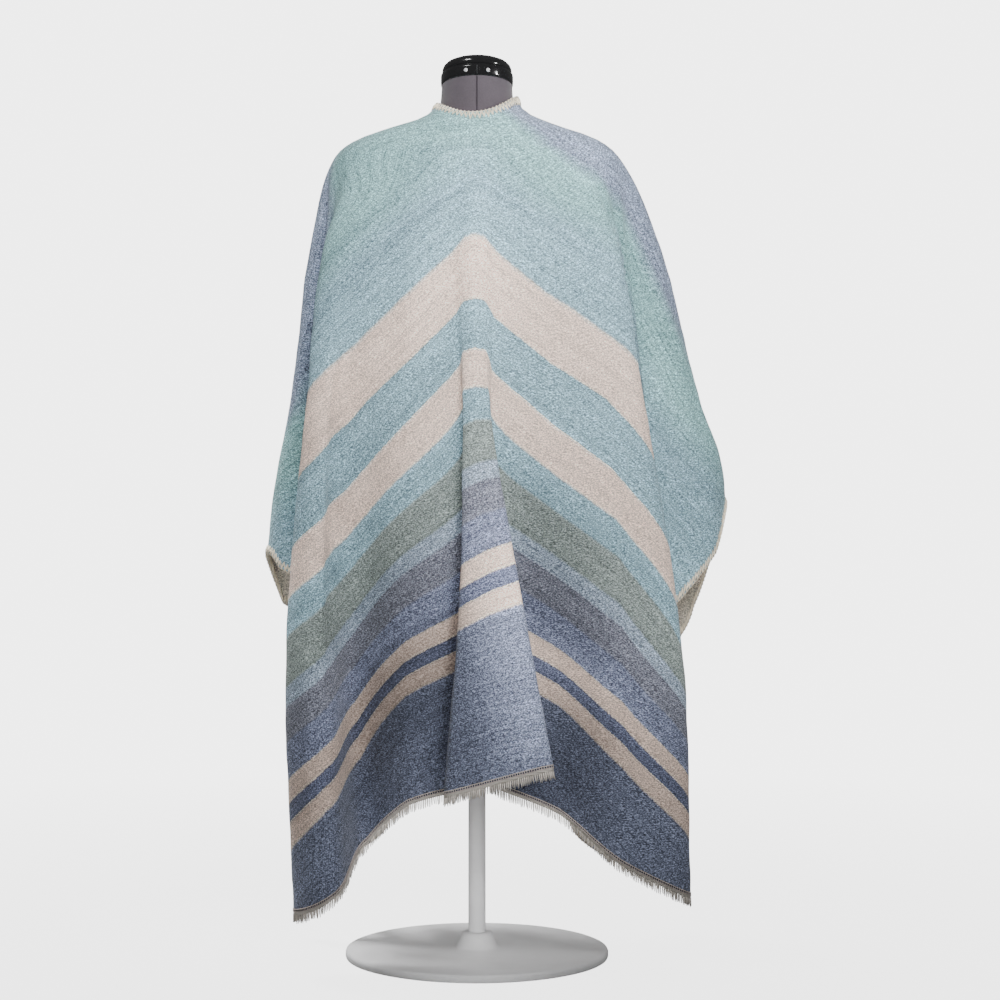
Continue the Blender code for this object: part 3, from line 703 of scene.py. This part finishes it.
def make_gloss(name, colour, roughness, coat, uneven=0.15):
    """Plastic, metal or paint with faint wear."""
    shader = Shader(name)
    wear = shader.noise(shader.space(60, 60, 60), 4.0, 0.6)
    shader.bump(shader.noise(shader.space(700, 700, 700)), 0.00004, 0.3)
    value = shader.spread(wear, 1 - uneven, 1 + uneven)
    return shader.finish(
        Base_Color=brightness(shader, linear(colour), value),
        Roughness=shader.spread(wear, roughness * 0.8, roughness * 1.25),
        Coat_Weight=coat, Coat_Roughness=0.06)


# -------------------- the curves
def heading(before, here, after):
    """The direction in which a smooth curve passes a station."""
    if before is None:
        return (after - here).normalized()
    if after is None:
        return (here - before).normalized()
    return ((after - here).normalized() + (here - before).normalized()).normalized()


def cubic_weights(f):
    """What a cubic's start, pull at the start, end and pull at the end count at share f."""
    return 2 * f**3 - 3 * f**2 + 1, f**3 - 2 * f**2 + f, 3 * f**2 - 2 * f**3, f**3 - f**2


def smooth_through(stations, t, rounding=0.0):
    """A point at station t on a smooth curve through the stations.

    Where the curve turns back, rounding makes it bend in a round fold."""
    last = len(stations) - 1
    i = min(int(t), last - 1)
    a, b = stations[i], stations[i + 1]
    leg = b - a
    pulls = []
    for way in (heading(stations[i - 1] if i > 0 else None, a, b),
                heading(a, b, stations[i + 2] if i + 2 <= last else None)):
        straight = max(0.0, way.dot(leg.normalized()))
        pulls.append(way * leg.length * (rounding + (1 - rounding) * straight))
    w = cubic_weights(t - i)
    return a * w[0] + pulls[0] * w[1] + b * w[2] + pulls[1] * w[3]


def smooth_number(values, t):
    """The same for plain numbers, evenly spaced."""
    last = len(values) - 1
    i = min(int(t), last - 1)
    before, here, there, after = [values[min(max(k, 0), last)] for k in (i - 1, i, i + 1, i + 2)]
    w = cubic_weights(t - i)
    return here * w[0] + (there - before) / 2 * w[1] + there * w[2] + (after - here) / 2 * w[3]


# -------------------- the form
def form_section(z):
    """The form's half width, front depth, back depth and roundness at a height."""
    for low, high in zip(FORM, FORM[1:]):
        if z <= high.z:
            share = max(0.0, (z - low.z) / (high.z - low.z))
            return [low[k] + (high[k] - low[k]) * share for k in (1, 2, 3, 4)]
    return list(FORM[-1][1:])


def form_radius(turn, z):
    """How far the form reaches from its axis in a plan direction."""
    half_width, front, back, roundness = form_section(z)
    across = abs(math.sin(turn)) / half_width
    along = abs(math.cos(turn)) / (back if math.cos(turn) > 0 else front)
    power = 2 / roundness
    return (across**power + along**power) ** (-1 / power)


def build_form(jersey):
    """The torso, smooth between its sections, and its centre-back seam."""
    rows = []
    for j in range((len(FORM) - 1) * FORM_STEPS + 1):
        z, half_width, front, back, roundness = [
            smooth_number(column, j / FORM_STEPS) for column in zip(*FORM)]
        row = []
        for i in range(FORM_SIDES):
            angle = math.tau * i / FORM_SIDES
            c, s = math.cos(angle), math.sin(angle)
            depth = front if s > 0 else back
            x = (half_width - FORM_SHRINK) * math.copysign(abs(c) ** roundness, c)
            y = (depth - FORM_SHRINK) * math.copysign(abs(s) ** roundness, s)
            row.append(lean((x, y, z)))
        rows.append(row)
    place(closed_rings("torso", rows, jersey), "form_jersey", "dress_form_torso")
    centre_back = FORM_SIDES * 3 // 4
    seam = upright_thread([row[centre_back] for row in rows], SEAM_RADIUS)
    place(seam.piece("torso_seam", make_yarn("seam_thread", SEAM_COLOUR)), "form_jersey")


def upright_thread(points, radius):
    """A thread that runs up the form's back."""
    thread = Threads(6)
    path = [Vector(point) for point in points]
    thread.add(path, [Vector((0, -1, 0))] * len(path), [radius] * len(path))
    return thread


def build_cap():
    """The glossy cap, its two screws and its centre-back joint."""
    plastic = make_gloss("cap_plastic_fine", CAP_BLACK, 0.16, 0.6)
    place(turned("cap", CAP, CAP_SIDES, plastic, lean), "cap_plastic", "neck_cap")
    steel = make_gloss("screw_steel", SCREW_GREY, 0.45, 0.0)
    head = [(SCREW_RADIUS * point.radius, point.rise) for point in SCREW_HEAD]
    for side, name in ((-1, "cap_screw_l"), (1, "cap_screw_r")):
        x = side * SCREW_SIDE
        y = -math.sqrt(CAP_FACE**2 - x**2)
        screw = turned(name, head, 24, steel)
        to_out = Vector((x, y, 0)).to_track_quat("Z", "Y").to_matrix()
        middle = Vector(lean((x, y, SCREW_HEIGHT)))
        for vertex in screw.data.vertices:
            vertex.co = to_out @ vertex.co + middle
        place(screw, "cap_plastic")
    joint = upright_thread([lean((0, -CAP_FACE, z)) for z in JOINT_HEIGHTS], JOINT_RADIUS)
    place(joint.piece("cap_joint", make_gloss("joint_plastic", JOINT_BLACK, 0.4, 0.0)), "cap_plastic")


def build_stand():
    """The round foot with its hub, and the pole with its clamp ring and collar."""
    coat = make_gloss("stand_coat", STAND_GREY, 0.42, 0.0, 0.03)
    base = [
        (BASE_RADIUS - 0.004, 0.0), (BASE_RADIUS - 0.001, 0.0008), (BASE_RADIUS, 0.003),
        (BASE_RADIUS, BASE_THICKNESS - 0.004), (BASE_RADIUS - 0.0012, BASE_THICKNESS - 0.0012),
        (BASE_RADIUS - 0.004, BASE_THICKNESS), (HUB_RADIUS + 0.004, BASE_THICKNESS),
        (HUB_RADIUS, BASE_THICKNESS + 0.003), (HUB_RADIUS * 0.85, HUB_HEIGHT - 0.008),
        (HUB_RADIUS * 0.72, HUB_HEIGHT - 0.001), (HUB_RADIUS * 0.66, HUB_HEIGHT),
    ]
    place(turned("stand_foot", base, 160, coat), "stand_steel", "stand_base")
    clamp, head = POLE_RADIUS + CLAMP_WALL, FORM[0].z - GAP
    flare = head - COLLAR_HEIGHT / 2
    pole = [
        (POLE_RADIUS, HUB_HEIGHT + GAP), (POLE_RADIUS, CLAMP_FROM), (clamp, CLAMP_FROM + BEVEL),
        (clamp, CLAMP_TO - BEVEL), (POLE_RADIUS, CLAMP_TO), (POLE_RADIUS, head - COLLAR_HEIGHT),
        (COLLAR_RADIUS - BEVEL, flare), (COLLAR_RADIUS, flare + BEVEL), (COLLAR_RADIUS, head),
    ]
    place(turned("stand_tube", pole, 64, coat), "stand_steel", "stand_pole")


# -------------------- the wrap
def fold_stations(fold):
    """The points that a fold line passes through, neck edge to end."""
    turn = math.radians(fold.turn)
    way = Vector((math.sin(turn), -math.cos(turn), 0))
    side = 1 - abs(abs(fold.turn) - 90) / 90
    if abs(fold.turn) < 90:
        height = NECK_EDGE_HEIGHT + NECK_EDGE_RISE * math.sin(turn)**2
    else:
        height = NECK_EDGE_HEIGHT + NECK_EDGE_RISE - NECK_EDGE_DIP * (1 - side) ** 2
    height += NECK_EDGE_TILT * math.sin(turn)
    stations = [way * NECK_EDGE_RADIUS + Vector((0, 0, height))]
    off = CLEAR + (SHOULDER_CLEAR - CLEAR) * side**2
    top = height - NECK_DROP
    for share in (0, 1 / 3, 2 / 3, 1):
        level = top + (SLOPE_FOOT - top) * share
        reach = form_radius(turn, level) + off
        stations.append(way * reach + Vector((0, 0, level + CLEAR)))
    blade = Vector((fold.x_blade * CM, fold.y_blade * CM, BLADE_LEVEL))
    waist = Vector((fold.x_waist * CM, fold.y_waist * CM, WAIST_LEVEL))
    end = Vector((fold.x_end * CM, fold.y_end * CM, fold.z_end * CM))
    return stations + [blade, waist, (waist + end) / 2 + Vector((fold.bow * CM, 0, 0)), end]


def stripe_stations(fold):
    """How far down the blanket each station is, in metres, below zero in front."""
    power = SHOULDER_POWER_R if fold.turn > 0 else SHOULDER_POWER_L
    share = abs(math.cos(math.radians(fold.turn))) ** power
    values = [s * share for s in SHOULDER_S] + [fold.s_blade, fold.s_waist, fold.s_mid, fold.s_end]
    sign = 1 if abs(fold.turn) <= 90 else -1
    return [s * CM * sign for s in values]


def ring_levels():
    """The mesh rows, counted in stations down a fold line."""
    levels = [0.0]
    for station, steps in enumerate(RING_STEPS):
        levels += [station + (k + 1) / steps for k in range(steps)]
    return levels


def leg_places():
    """The mesh columns, counted in fold lines from the left front edge."""
    places = []
    for leg in range(len(FOLDS) - 1):
        steps = min(LEG_STEPS[FOLDS[leg].part], LEG_STEPS[FOLDS[leg + 1].part])
        places += [leg + k / steps for k in range(steps)]
    places.append(len(FOLDS) - 1.0)
    return places


def wrap_grid():
    """Rows of points of the wrap's middle surface, and its stripe distances."""
    lines = [fold_stations(fold) for fold in FOLDS]
    stripes = [stripe_stations(fold) for fold in FOLDS]
    levels, places = ring_levels(), leg_places()
    grid = np.zeros((len(levels), len(places), 3))
    down = np.zeros((len(levels), len(places)))
    for j, level in enumerate(levels):
        across = [smooth_through(line, level) for line in lines]
        plan = [Vector((p.x, p.y, 0)) for p in across]
        heights = [p.z for p in across]
        values = [smooth_number(line, level) for line in stripes]
        for i, here in enumerate(places):
            point = smooth_through(plan, here, FOLD_ROUNDING)
            grid[j, i] = (point.x, point.y, smooth_number(heights, here))
            leg = min(int(here), len(FOLDS) - 2)
            down[j, i] = values[leg] + (values[leg + 1] - values[leg]) * (here - leg)
    return grid, down


def grid_normals(grid):
    """Unit vectors square to the surface, pointing away from the form."""
    step = grid[:, 1:] - grid[:, :-1]
    step /= np.maximum(np.linalg.norm(step, axis=2, keepdims=True), 1e-9)
    across = np.zeros_like(grid)
    across[:, 1:] += step
    across[:, :-1] += step
    normal = np.cross(np.gradient(grid, axis=0), across)
    return normal / np.maximum(np.linalg.norm(normal, axis=2, keepdims=True), 1e-12)


def crease_heights(grid):
    """How far each point of the surface moves out, from the creases and the ruffle."""
    levels, places = np.array(ring_levels()), np.array(leg_places())
    heights = np.zeros(grid.shape[:2])
    shares = np.linspace(0, 1, CREASE_SAMPLES)
    for crease in CREASES:
        folds = crease.fold_a + (crease.fold_b - crease.fold_a) * shares
        stations = crease.station_a + (crease.station_b - crease.station_a) * shares
        rows = [int(np.argmin(abs(levels - station))) for station in stations]
        columns = [int(np.argmin(abs(places - fold))) for fold in folds]
        line = grid[rows, columns]
        near = (places > folds.min() - CREASE_REACH) & (places < folds.max() + CREASE_REACH)
        distance = np.linalg.norm(grid[:, near, None] - line, axis=3)
        # a crease fades towards its two ends
        taper = np.sin(np.pi * (shares[distance.argmin(axis=2)] * 0.92 + 0.04)) ** 0.7
        profile = np.exp(-(distance.min(axis=2) / (crease.width * MM)) ** 2)
        heights[:, near] += crease.depth * MM * taper * profile
    for place_at in np.ndindex(heights.shape):
        here = Vector(grid[place_at])
        coarse, fine = [noise.noise(here * scale) for scale in RUFFLE_SCALES]
        heights[place_at] += RUFFLE * (coarse + 0.6 * fine)
    return heights * np.clip((levels - SMOOTH_TO) / SMOOTH_FADE, SMOOTH_SHARE, 1.0)[:, None]


def keep_off_form(grid):
    """Moves points that come too near the form straight out from its axis."""
    for point in grid.reshape(-1, 3):
        x, y, z = point
        if FORM[0].z <= z <= FORM[-1].z:
            least = form_radius(math.atan2(x, -y), z) + FORM_GAP
            point[:2] *= max(1.0, least / math.hypot(x, y))


def across_blanket(grid, down):
    """How far each point is across the blanket from its centre back, in metres."""
    step = np.linalg.norm(grid[:, 1:] - grid[:, :-1], axis=2)
    drop = down[:, 1:] - down[:, :-1]
    width = np.sqrt(np.maximum(step**2 - drop**2, (0.3 * step) ** 2))
    total = np.concatenate([np.zeros((len(grid), 1)), np.cumsum(width, axis=1)], axis=1)
    middle = leg_places().index([fold.name for fold in FOLDS].index("pleat_face"))
    return total - total[:, middle:middle + 1]


def edge_distance(grid):
    """How far each point is from its fold line's end, in metres."""
    step = np.linalg.norm(grid[1:] - grid[:-1], axis=2)
    from_top = np.concatenate([np.zeros((1, grid.shape[1])), np.cumsum(step, axis=0)])
    return from_top[-1] - from_top


def hem_ranges():
    """The mesh columns of the hems and the side edges."""
    places = leg_places()
    a, b, c, d = [places.index(i) for i, fold in enumerate(FOLDS) if fold.part == "corner"]
    hems = {"front_left": (0, a), "back": (b, c), "front_right": (d, len(places) - 1)}
    return hems, [(a, b), (c, d)]


def build_wrap(grid, normals, down):
    """The blanket: two faces, the rims that join them, and its flat and edge coordinates."""
    rows, columns = grid.shape[:2]
    half = rows * columns
    points = np.concatenate([(grid + normals * side * WALL / 2).reshape(-1, 3) for side in (1, -1)])
    index = np.arange(half).reshape(rows, columns)
    outside = np.stack([index[:-1, :-1], index[1:, :-1], index[1:, 1:], index[:-1, 1:]], axis=2)
    outside = outside.reshape(-1, 4)
    faces = [outside, outside[:, ::-1] + half]
    for rim in (index[0], index[-1, ::-1], index[::-1, 0], index[:, -1]):
        faces.append(np.stack([rim[:-1], rim[1:], rim[1:] + half, rim[:-1] + half], axis=1))
    faces = np.concatenate(faces)
    wrap = mesh_object("wrap", points, faces.tolist(), make_cloth_outside())
    wrap.data.materials.append(make_cloth_inside())
    finishes = (np.arange(len(faces)) >= len(outside)).astype(np.int32)
    wrap.data.polygons.foreach_set("material_index", finishes)

    is_hem = np.zeros((rows, columns))
    for first, last in hem_ranges()[0].values():
        is_hem[:, first:last + 1] = 1
    corners = np.zeros(len(wrap.data.loops), dtype=np.int32)
    wrap.data.loops.foreach_get("vertex_index", corners)
    for name, layers in (("flat", (across_blanket(grid, down), down)),
                         ("edge", (edge_distance(grid), is_hem))):
        values = np.stack(layers, axis=2).reshape(-1, 2)[corners % half]
        wrap.data.uv_layers.new(name=name).data.foreach_set("uv", values.astype(np.float32).ravel())
    return place(wrap, "wrap_cloth", "wrap_blanket")


# -------------------- sewing
Spot = namedtuple("Spot", "point inward out")  # inward: into the cloth, out: off its face


def edge_spots(grid, normals, j, first, last, pitch):
    """Evenly spaced spots along part of row j, which is an edge of the cloth."""
    span, inner = slice(first, last + 1), j + 2 if j == 0 else j - 2
    points = grid[j, span]
    steps = np.linalg.norm(points[1:] - points[:-1], axis=1)
    length = np.concatenate([[0], np.cumsum(steps)])
    count = max(2, int(round(length[-1] / pitch)))
    at = np.linspace(0, length[-1], count + 1)
    columns = [np.stack([np.interp(at, length, values[:, k]) for k in range(3)], axis=1)
               for values in (points, grid[inner, span], normals[j, span])]
    spots = []
    for point, inside, out in zip(*columns):
        out = Vector(out).normalized()
        inward = Vector(inside) - Vector(point)
        inward = (inward - out * inward.dot(out)).normalized()
        spots.append(Spot(Vector(point), inward, out))
    return spots


def blanket_stitch(threads, purl, spots, rng):
    """A zigzag of thread over the edge on both faces, with a purl along the edge."""
    lift = WALL / 2 + STITCH_THREAD * 0.7
    for face in (1, -1):
        path, outs, radii = [], [], []
        for spot in spots:
            depth = STITCH_DEPTH * rng.uniform(0.84, 1.1)
            out = spot.out * face
            path.append(spot.point + out * lift * 0.8 - spot.inward * STITCH_THREAD)
            path.append(spot.point + spot.inward * depth * 0.5 + out * (lift + 0.0004))
            path.append(spot.point + spot.inward * depth + out * (lift - 0.0007))
            outs += [out] * 3
            radii += [STITCH_THREAD, STITCH_THREAD * 1.15, STITCH_THREAD * 0.8]
        # legs lean to one side going down and to the other going up
        for k in range(1, len(spots)):
            shift = (spots[k].point - spots[k - 1].point) * 0.5
            path[3 * k + 2] += shift
            path[3 * k + 1] += shift * 0.5
        threads.add(path, outs, radii)
    path = [spot.point - spot.inward * 0.0006 for spot in spots]
    purl.add(path, [spot.out for spot in spots],
             [PURL_RADIUS * rng.uniform(0.85, 1.1) for _ in spots])


def hem_stitch(threads, spots, rng):
    """Two rows of thread above a hem with rungs between them, on both faces."""
    lift = WALL / 2 + HEM_THREAD * 0.3
    for face in (1, -1):
        for row in HEM_ROWS:
            path = []
            for k, spot in enumerate(spots):
                rise = HEM_THREAD * (0.5 if k % 2 else -0.2)
                path.append(spot.point + spot.inward * (row + rng.uniform(-0.0002, 0.0002))
                            + spot.out * face * (lift + rise))
            threads.add(path, [spot.out * face for spot in spots], [HEM_THREAD] * len(path))
        for k in range(0, len(spots), 2):
            spot = spots[k]
            ends = [spot.point + spot.inward * row + spot.out * face * lift for row in HEM_ROWS]
            threads.add(ends, [spot.out * face] * 2, [HEM_THREAD * 0.8] * 2)


def fringe(threads, spots, rng):
    """Short yarn ends that hang from a hem, uneven in length and lean."""
    for a, b in zip(spots, spots[1:]):
        along = (b.point - a.point).normalized()
        reach = FRINGE_LENGTH * rng.uniform(0.80, 1.06)
        sway = along * rng.uniform(-0.0011, 0.0011) + a.out * rng.uniform(-0.0010, 0.0010)
        root = a.point + a.inward * FRINGE_ROOT + a.out * rng.uniform(-0.0004, 0.0004)
        path = [root]
        for share in (1 / 3, 2 / 3, 1):
            path.append(root - a.inward * reach * share + sway * share**2
                        - Vector((0, 0, FRINGE_DROOP)) * share)
        radius = FRINGE_RADIUS * rng.uniform(0.85, 1.15)
        threads.add(path, [a.out] * 4, [radius, radius, radius * 0.85, radius * 0.5])


def sew(grid, normals):
    """All stitches and fringes. Returns the pieces that lie on the cloth."""
    rng = random.Random("sewing")
    hems, sides = hem_ranges()
    bottom, right = grid.shape[0] - 1, grid.shape[1] - 1
    slit = grid.swapaxes(0, 1), normals.swapaxes(0, 1)
    edges = [edge_spots(grid, normals, 0, 0, right, STITCH_PITCH)]
    edges += [edge_spots(grid, normals, bottom, *span, STITCH_PITCH) for span in sides]
    edges += [edge_spots(*slit, i, 0, bottom, STITCH_PITCH) for i in (0, right)]
    legs, purl = Threads(4), Threads(6)
    for spots in edges:
        blanket_stitch(legs, purl, spots, rng)
    ladder = Threads(4)
    for span in hems.values():
        hem_stitch(ladder, edge_spots(grid, normals, bottom, *span, HEM_PITCH / 2), rng)
    beige = make_yarn("stitch_thread", BEIGE)
    made = [
        place(legs.piece("blanket_stitch", beige), "fringe_yarn"),
        place(purl.piece("edge_purl", beige), "fringe_yarn"),
        place(ladder.piece("hem_stitch", make_yarn("hem_thread", HEM_THREAD_COLOUR)), "fringe_yarn"),
    ]
    yarn = make_yarn("fringe_yarn_fine", YARN_GREY, 0.4, 330, 25)
    for name, span in hems.items():
        ends = Threads(3)
        fringe(ends, edge_spots(grid, normals, bottom, *span, FRINGE_PITCH), rng)
        made.append(place(ends.piece(f"yarn_ends_{name}", yarn), "fringe_yarn", f"fringe_{name}"))
    return made


# -------------------- studio
def build_camera():
    camera = bpy.data.cameras.new("camera")
    camera.lens = CAMERA_LENS
    camera.sensor_width = CAMERA_SENSOR
    camera.shift_x = CAMERA_SHIFT
    made = add_object("camera", camera)
    made.location = CAMERA_PLACE
    made.rotation_euler = (math.pi / 2, 0, 0)
    bpy.context.scene.camera = made


def build_lamp(lamp):
    light = bpy.data.lights.new(lamp.name, "AREA")
    light.shape = "RECTANGLE"
    light.size, light.size_y = lamp.size
    light.energy = lamp.power
    light.spread = math.radians(lamp.spread)
    made = add_object(lamp.name, light)
    made.visible_glossy = lamp.mirrored
    made.location = lamp.place
    aim = Vector(lamp.target) - Vector(lamp.place)
    made.rotation_euler = aim.to_track_quat("-Z", "Y").to_euler()


def build_world():
    """A pale backdrop all round that gives only a little light itself."""
    world = Shader("studio", bpy.data.worlds.new("studio"), "Background")
    seen = world.put("LightPath", output="Is Camera Ray")
    strength = world.stretch(seen, 0.0, 1.0, AMBIENT, BACKDROP)
    bpy.context.scene.world = world.finish(Color=(1.0, 1.0, 1.0, 1.0), Strength=strength)


def build_floor():
    """A pale floor that fades into the backdrop."""
    floor = Shader("floor")
    from_middle = floor.put("VectorMath", {0: floor.put("TexCoord", output="Object")}, "Value",
                            operation="LENGTH")
    fade = floor.stretch(from_middle, 0.0, FLOOR_RADIUS, FLOOR_FADE, 1.0)
    value = floor.spread(floor.noise(floor.space(2, 2, 2)), 0.99, 1.01)
    floor.finish(Base_Color=brightness(floor, linear(FLOOR_COLOUR), value), Roughness=0.9)
    mixed = floor.put("MixShader", {0: fade, 1: floor.main.outputs[0], 2: floor.put("BsdfTransparent")})
    floor.feed(floor.nodes["Material Output"].inputs[0], mixed)
    corners = [(x * FLOOR_RADIUS, y * FLOOR_RADIUS, 0) for x, y in ((-1, -1), (1, -1), (1, 1), (-1, 1))]
    mesh_object("floor", corners, [(0, 1, 2, 3)], floor.owner, smooth=False)



build_camera()
for each_lamp in LAMPS:
    build_lamp(each_lamp)
build_world()
build_floor()
build_form(make_jersey())
build_cap()
build_stand()

cloth_grid, cloth_down = wrap_grid()
cloth_normals = grid_normals(cloth_grid)
cloth_grid += cloth_normals * crease_heights(cloth_grid)[:, :, None]
keep_off_form(cloth_grid)
cloth_normals = grid_normals(cloth_grid)
wrap_piece = build_wrap(cloth_grid, cloth_normals, cloth_down)
sewn = sew(cloth_grid, cloth_normals)
